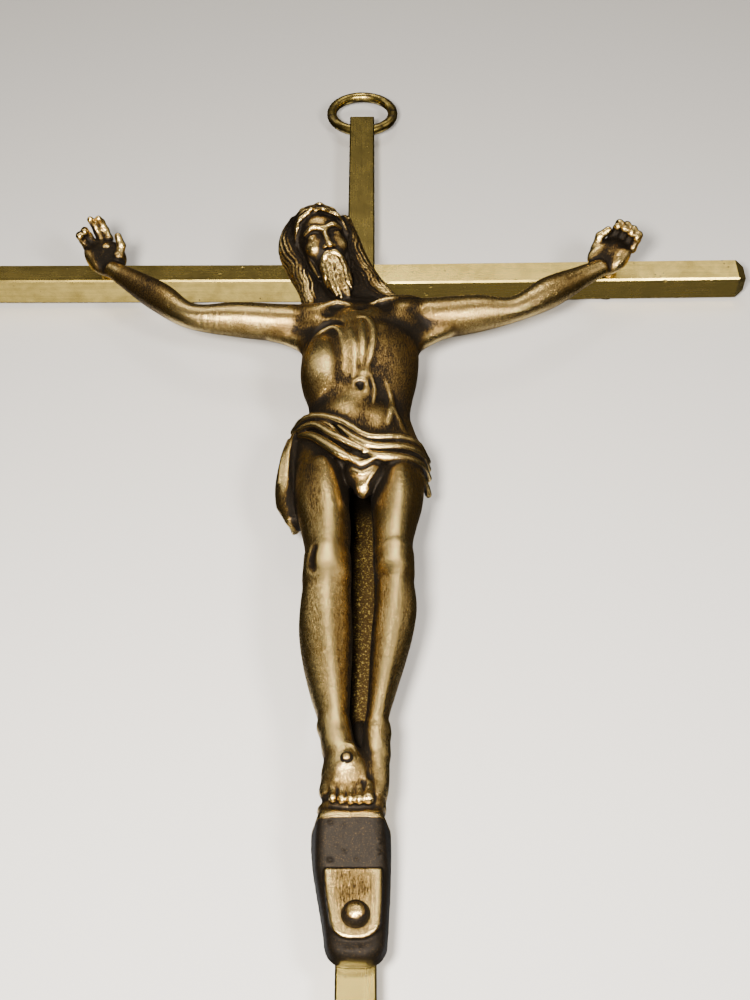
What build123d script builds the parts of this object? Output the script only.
from build123d import *
import math
import os

# Small brass wall crucifix: square bars, a cast figure riveted on, a ring to hang it by.
# Millimetres. X to the viewer's right, -Y to the viewer, +Z up.
# The origin is on the upright's back face, at the height of the crossing.

# ---- driving dimensions ----
BAR = 6.35                      # side of the square bar, 1/4 in
TOTAL_HEIGHT = 304.8            # 12 in
SPAN = 177.8                    # 7 in, tip to tip
TOP_LIMB = 67.0                 # crossing centre to the upright's top end
EDGE_BREAK = 0.35               # chamfer along the bars' long edges
END_BEVEL_LENGTH = 2.0          # bevelled bar ends, along the bar
END_BEVEL_INSET = 1.3           # and across it
LEFT_ARM_ROLL = -3.0            # degrees about the stud, where each arm came to seat
RIGHT_ARM_ROLL = 5.5
RIGHT_ARM_RISE = 0.9            # degrees, the right arm points a little upwards

STUD_RADIUS = 1.5
STUD_LENGTH = 26.0
STUD_BACKSET = 3.5              # stud axis to the back face, so a rolled arm stays in front of it

RING_WIRE = 1.3                 # wire radius
RING_MEAN = 8.1                 # ring centre line radius
RING_HOLE = 1.85                # cross-hole radius
RING_HOLE_DROP = 3.3            # hole centre below the top end
RING_HOLE_BACKSET = 3.05        # hole centre to the back face

FRONT = -BAR                    # plane of the upright's front face
HAND_X_LEFT = -57.6             # nails' places along the arms
HAND_X_RIGHT = 57.0
HAND_NAIL_Z = 0.0
HAND_STANDOFF = 4.0             # palm's back to the upright's front plane
PALM_THICKNESS = 3.4
PALM = FRONT - HAND_STANDOFF - PALM_THICKNESS
NAIL_SHANK = 0.9                # radii and heights of the domed nails
NAIL_HEAD = 1.7
NAIL_HEAD_HEIGHT = 1.0
NAIL_TAIL = 1.9
NAIL_TAIL_DEPTH = 1.0
HEAD_GRIP = 0.3                 # how far a shank reaches into its head
BOSS_RADIUS = 2.2

TAB_TOP = -141.6                # foot block's ledge
TAB_BOTTOM = -165.2
TAB_WIDTH_TOP = 12.6
TAB_WIDTH_BOTTOM = 9.4
TAB_CORNER = 3.2
TAB_LEAN = -0.9                 # ledge's centre, a little to the viewer's left of the rivet
TAB_THICKNESS = 3.6
BLOCK_DEPTH = 7.0               # ledge, from the upright's front face
BLOCK_FOOT = -150.9             # where the block's slope meets the tab
LEDGE_BREAK = 0.8               # bevel along the ledge's front edge
LEDGE_FACE = 2.0                # ledge's top to the start of the slope
PANEL_TOP = -151.2              # raised tongue-shaped panel on the tab
PANEL_BOTTOM = -162.2
PANEL_WIDTH_TOP = 9.4
PANEL_WIDTH_BOTTOM = 7.6
PANEL_CORNER = 2.8
PANEL_RAISE = 0.7
PANEL_ROOT = 0.5                # how far the panel's body reaches into the tab
RIVET_Z = -158.9
RIVET_HEAD = 2.3
RIVET_HEAD_HEIGHT = 1.95
RIVET_SHANK = 1.35
RIVET_TAIL = 2.2
RIVET_TAIL_DEPTH = 0.9
FOOT_NAIL_X = -1.6
FOOT_NAIL_Z = -134.5
FOOT_NAIL_DEPTH = 9.2           # front of the upper foot, from the upright's front face
FOOT_NAIL_LENGTH = 4.0
FOOT_NAIL_SHANK = 0.6
FOOT_NAIL_HEAD = 1.1
FOOT_NAIL_HEAD_HEIGHT = 0.8

CLEAR = 0.3                     # gap between the figure's back and the bars
ABOVE = 6.0                     # reach of the cutters that seat the nail heads
BOSS_REACH = 1.5                # how far a boss reaches into the palm
BALL = 1.02                     # ball at a limb's end, over the limb's radius
OUTLINE_DEPTH = 12.0            # depth of the foot block's outline before it is trimmed


# ---- helpers ----
def square_bar(length):
    """Square bar along +X from x = 0, its axis on the X axis, with a bevelled far end."""
    half = BAR / 2
    bar = Pos(length / 2, 0, 0) * Box(length, BAR, BAR)
    bar = chamfer(bar.edges().filter_by(Axis.X), EDGE_BREAK)
    keep = extrude(Plane.YZ * Rectangle(BAR + 1, BAR + 1), length - END_BEVEL_LENGTH)
    tip_start = Plane(origin=(length - END_BEVEL_LENGTH, 0, 0), z_dir=(1, 0, 0)) * Rectangle(BAR, BAR)
    tip_end_side = 2 * (half - END_BEVEL_INSET)
    tip_end = Plane(origin=(length, 0, 0), z_dir=(1, 0, 0)) * Rectangle(tip_end_side, tip_end_side)
    return bar & (keep + loft([tip_start, tip_end]))


def cylinder_between(start, end, radius):
    """Cylinder from start to end."""
    axis = Vector(*end) - Vector(*start)
    return Plane(origin=start, z_dir=axis) * Cylinder(
        radius, axis.length, align=(Align.CENTER, Align.CENTER, Align.MIN))


def limb(start, end, start_radius, end_radius):
    """Tapered limb between two points, with a slightly fuller ball at each end."""
    axis = Vector(*end) - Vector(*start)
    body = Plane(origin=start, z_dir=axis) * Cone(
        start_radius, end_radius, axis.length, align=(Align.CENTER, Align.CENTER, Align.MIN))
    return body + Pos(*start) * Sphere(start_radius * BALL) + Pos(*end) * Sphere(end_radius * BALL)


def at(x, depth, z):
    """Point at a depth in front of the upright's front face."""
    return (x, FRONT - depth, z)


def tongue(top, bottom, width_top, width_bottom, lean, corner, front, back):
    """Flat tongue between two depths: tapering sides, top shifted by lean, rounded lower end."""
    outline = Polygon(
        (lean - width_top / 2, top), (lean + width_top / 2, top),
        (width_bottom / 2, bottom), (-width_bottom / 2, bottom), align=None)
    lower = outline.vertices().sort_by(Axis.Y)[:2]
    rounded = fillet(lower, corner)
    face = Plane(origin=(0, FRONT - front, 0), x_dir=(1, 0, 0), z_dir=(0, -1, 0)) * rounded
    return extrude(face, front - back, dir=(0, 1, 0))


# ---- bars ----
def make_upright():
    bottom = TOP_LIMB - TOTAL_HEIGHT
    upper = square_bar(TOP_LIMB)
    lower = square_bar(-bottom)
    stand = Plane(origin=(0, -BAR / 2, 0), x_dir=(0, 0, 1), z_dir=(0, -1, 0))
    hang = Plane(origin=(0, -BAR / 2, 0), x_dir=(0, 0, -1), z_dir=(0, -1, 0))
    bar = stand * upper + hang * lower
    bar -= cylinder_between((-BAR, -STUD_BACKSET, 0), (BAR, -STUD_BACKSET, 0), STUD_RADIUS)
    hole_z = TOP_LIMB - RING_HOLE_DROP
    bar -= cylinder_between(
        (-BAR, -RING_HOLE_BACKSET, hole_z), (BAR, -RING_HOLE_BACKSET, hole_z), RING_HOLE)
    bar -= cylinder_between((0, FRONT - 1, RIVET_Z), (0, 1, RIVET_Z), RIVET_SHANK)
    bar -= countersunk_tail(0, RIVET_Z, RIVET_SHANK, RIVET_TAIL, RIVET_TAIL_DEPTH)
    return bar


def countersunk_tail(x, z, shank, tail, depth):
    """Flush countersunk tail of a rivet or nail at the back face, wide end at y = 0."""
    return Plane(origin=(x, -depth, z), z_dir=(0, 1, 0)) * Cone(
        shank, tail, depth, align=(Align.CENTER, Align.CENTER, Align.MIN))


def make_arm(side, roll, rise, nail_x):
    """One arm: rolled about the stud, trimmed flat against the upright's side."""
    arm = square_bar(SPAN / 2)
    arm = Rot(roll * side, 0, 0) * arm
    arm = Rot(0, -rise, 0) * arm
    if side < 0:
        arm = Rot(0, 0, 180) * arm
    arm = Pos(0, -STUD_BACKSET, 0) * arm
    arm -= Pos(0, -BAR / 2, 0) * Box(BAR, 4 * BAR, 4 * BAR)
    stud_end = (side * STUD_LENGTH / 2, -STUD_BACKSET, 0)
    arm -= cylinder_between((0, -STUD_BACKSET, 0), stud_end, STUD_RADIUS)
    return arm - nail_shank(nail_x)


def nail_shank(x):
    """Straight shank of a hand nail with its flush tail, from inside the palm to the arm's back."""
    front = PALM - HEAD_GRIP
    shank = cylinder_between((x, front, HAND_NAIL_Z), (x, -NAIL_TAIL_DEPTH / 2, HAND_NAIL_Z), NAIL_SHANK)
    return shank + countersunk_tail(x, HAND_NAIL_Z, NAIL_SHANK, NAIL_TAIL, NAIL_TAIL_DEPTH)


def dome(x, y, z, radius, height):
    """Domed head on the plane at y, bulging towards -Y."""
    ball = (radius ** 2 + height ** 2) / (2 * height)
    cap = Pos(x, y - height + ball, z) * Sphere(ball)
    return cap & (Pos(x, y - height, z) * Box(4 * radius, 2 * height, 4 * radius))


def make_nail(x):
    return nail_shank(x) + dome(x, PALM, HAND_NAIL_Z, NAIL_HEAD, NAIL_HEAD_HEIGHT)


def make_foot_nail():
    seat = FRONT - FOOT_NAIL_DEPTH
    front = seat - HEAD_GRIP
    back = seat + FOOT_NAIL_LENGTH
    shank = cylinder_between(
        (FOOT_NAIL_X, front, FOOT_NAIL_Z), (FOOT_NAIL_X, back, FOOT_NAIL_Z), FOOT_NAIL_SHANK)
    return shank + dome(FOOT_NAIL_X, seat, FOOT_NAIL_Z, FOOT_NAIL_HEAD, FOOT_NAIL_HEAD_HEIGHT)


def make_rivet():
    seat = FRONT - TAB_THICKNESS - PANEL_RAISE
    shank = cylinder_between(
        (0, seat - HEAD_GRIP, RIVET_Z), (0, -RIVET_TAIL_DEPTH / 2, RIVET_Z), RIVET_SHANK)
    tail = countersunk_tail(0, RIVET_Z, RIVET_SHANK, RIVET_TAIL, RIVET_TAIL_DEPTH)
    return shank + tail + dome(0, seat, RIVET_Z, RIVET_HEAD, RIVET_HEAD_HEIGHT)


# ---- corpus ----
def make_torso():
    """Chest, waist and hips as stacked ellipses: height, centre x, depth, half width, half depth."""
    stations = [
        (-19.0, 0.2, 7.2, 8.2, 4.4),
        (-25.0, 0.4, 7.6, 13.0, 5.9),
        (-33.0, 0.4, 7.8, 13.2, 6.6),
        (-42.0, 0.1, 7.2, 12.3, 6.4),
        (-50.0, -0.4, 6.6, 9.8, 5.7),
        (-58.0, -0.5, 6.6, 11.0, 5.8),
        (-66.0, -0.6, 6.8, 13.2, 6.2),
        (-76.0, -0.3, 6.8, 12.8, 6.1),
    ]
    rings = [Plane(origin=at(x, depth, z), z_dir=(0, 0, -1)) * Ellipse(wide, deep)
             for z, x, depth, wide, deep in stations]
    return loft(rings)


def make_limbs():
    """Arms, legs, feet, neck and head."""
    pieces = [
        limb(at(-9.0, 7.5, -26.0), at(-15.5, 7.0, -24.5), 5.2, 4.2),
        limb(at(-15.5, 7.0, -24.5), at(-35.5, 6.6, -23.5), 4.0, 3.1),
        limb(at(-35.5, 6.6, -23.5), at(-54.0, 6.0, -7.5), 3.3, 2.2),
        limb(at(-54.0, 6.0, -7.5), at(-58.3, 6.0, -0.5), 2.3, 3.1),
        limb(at(-58.3, 6.0, -0.5), at(-64.3, 9.2, 5.6), 3.0, 1.9),
        limb(at(9.0, 7.5, -26.0), at(14.5, 7.0, -23.5), 5.2, 4.3),
        limb(at(14.5, 7.0, -23.5), at(33.0, 6.6, -20.0), 4.1, 3.0),
        limb(at(33.0, 6.6, -20.0), at(50.0, 6.0, -7.0), 3.3, 2.2),
        limb(at(50.0, 6.0, -7.0), at(56.8, 6.0, -0.5), 2.3, 3.1),
        limb(at(56.8, 6.0, -0.5), at(60.5, 9.4, 2.0), 3.0, 2.5),
        limb(at(-6.7, 6.2, -72.0), at(-5.8, 9.3, -97.5), 5.6, 4.3),
        limb(at(-5.8, 9.3, -97.5), at(-3.4, 6.0, -124.5), 4.4, 2.8),
        limb(at(-3.4, 6.0, -124.5), at(-1.6, 6.5, -134.5), 2.7, 2.9),
        limb(at(-1.6, 6.5, -134.5), at(-1.4, 5.2, -141.2), 2.8, 2.6),
        limb(at(6.5, 6.0, -71.5), at(6.2, 8.6, -97.0), 5.6, 4.1),
        limb(at(6.2, 8.6, -97.0), at(3.0, 4.8, -125.5), 4.2, 2.6),
        limb(at(3.0, 4.8, -125.5), at(1.8, 4.2, -141.2), 2.5, 2.7),
        limb(at(-1.6, 6.6, -22.0), at(-5.0, 8.0, -10.0), 4.5, 4.2),
    ]
    skull = Pos(*at(-8.4, 10.9, -2.2)) * Rot(-24, -16, 0) * scale(Sphere(1), by=(7.4, 7.4, 9.6))
    hair_left = limb(at(-14.0, 8.4, -1.0), at(-11.2, 6.4, -20.0), 4.0, 2.8)
    hair_right = limb(at(-2.4, 8.8, -1.0), at(6.0, 7.4, -19.5), 3.6, 2.8)
    beard = limb(at(-6.0, 11.2, -10.8), at(-3.4, 10.4, -19.6), 3.6, 1.6)
    drape = limb(at(-13.4, 4.6, -61.0), at(-14.2, 4.2, -76.5), 1.9, 2.3)
    for piece in (skull, hair_left, hair_right, beard, drape):
        pieces.append(piece)
    return pieces


def make_foot_block():
    """Foot block above a riveting tab, flush on the upright, with a raised panel."""
    front_outline = tongue(
        TAB_TOP, TAB_BOTTOM, TAB_WIDTH_TOP, TAB_WIDTH_BOTTOM, TAB_LEAN, TAB_CORNER, OUTLINE_DEPTH, 0)
    side = Polygon(
        (0, TAB_TOP), (BLOCK_DEPTH - LEDGE_BREAK, TAB_TOP), (BLOCK_DEPTH, TAB_TOP - LEDGE_BREAK),
        (BLOCK_DEPTH, TAB_TOP - LEDGE_FACE), (TAB_THICKNESS, BLOCK_FOOT),
        (TAB_THICKNESS, TAB_BOTTOM), (0, TAB_BOTTOM), align=None)
    section = Plane(origin=(0, FRONT, 0), x_dir=(0, -1, 0), z_dir=(-1, 0, 0)) * side
    body = front_outline & extrude(section, TAB_WIDTH_TOP, both=True)
    panel = tongue(
        PANEL_TOP, PANEL_BOTTOM, PANEL_WIDTH_TOP, PANEL_WIDTH_BOTTOM, TAB_LEAN / 3, PANEL_CORNER,
        TAB_THICKNESS + PANEL_RAISE, TAB_THICKNESS - PANEL_ROOT)
    return body + panel


def make_corpus(arms):
    """The whole casting in one solid, clear of the bars except at the tab and the bosses."""
    figure = make_torso()
    for piece in make_limbs():
        figure += piece
    behind = 2 * TOTAL_HEIGHT
    figure -= Pos(0, FRONT - CLEAR + behind / 2, 0) * Box(behind, behind, behind)
    palm_inside = HAND_STANDOFF + BOSS_REACH
    bosses = [cylinder_between(at(x, palm_inside, HAND_NAIL_Z), (x, -BAR / 2, HAND_NAIL_Z), BOSS_RADIUS)
              for x in (HAND_X_LEFT, HAND_X_RIGHT)]
    for boss, arm in zip(bosses, arms):
        figure += boss - arm
    figure += make_foot_block()
    for x in (HAND_X_LEFT, HAND_X_RIGHT):
        figure -= nail_shank(x)
        figure -= cylinder_between((x, PALM, HAND_NAIL_Z), (x, PALM - ABOVE, HAND_NAIL_Z), NAIL_HEAD)
    figure -= make_foot_nail()
    seat = (FOOT_NAIL_X, FRONT - FOOT_NAIL_DEPTH, FOOT_NAIL_Z)
    clear = (FOOT_NAIL_X, FRONT - FOOT_NAIL_DEPTH - ABOVE, FOOT_NAIL_Z)
    figure -= cylinder_between(seat, clear, FOOT_NAIL_HEAD)
    figure -= cylinder_between((0, 0, RIVET_Z), (0, FRONT - ABOVE, RIVET_Z), RIVET_SHANK)
    return figure


# ---- ring ----
def make_ring():
    """Closed wire ring, standing up in the cross's plane, its lowest point in the cross-hole."""
    hole_z = TOP_LIMB - RING_HOLE_DROP
    sagitta = RING_MEAN - math.sqrt(RING_MEAN ** 2 - (BAR / 2) ** 2)
    centre_z = hole_z + RING_MEAN - sagitta / 2
    return Plane(origin=(0, -RING_HOLE_BACKSET, centre_z), z_dir=(0, 1, 0)) * Torus(RING_MEAN, RING_WIRE)


# ---- write ----
os.makedirs("parts", exist_ok=True)
upright_bar = make_upright()
left_arm = make_arm(-1, LEFT_ARM_ROLL, 0.0, HAND_X_LEFT)
right_arm = make_arm(1, RIGHT_ARM_ROLL, RIGHT_ARM_RISE, HAND_X_RIGHT)
nodes = {
    "upright_bar": upright_bar,
    "left_arm": left_arm,
    "right_arm": right_arm,
    "crossbar_stud": cylinder_between(
        (-STUD_LENGTH / 2, -STUD_BACKSET, 0), (STUD_LENGTH / 2, -STUD_BACKSET, 0), STUD_RADIUS),
    "corpus": make_corpus((left_arm, right_arm)),
    "foot_rivet": make_rivet(),
    "left_hand_nail": make_nail(HAND_X_LEFT),
    "right_hand_nail": make_nail(HAND_X_RIGHT),
    "foot_nail": make_foot_nail(),
    "hanging_ring": make_ring(),
}
for name, shape in nodes.items():
    export_step(shape, f"parts/{name}.step")
    print(name, round(shape.volume, 1), len(shape.solids()))
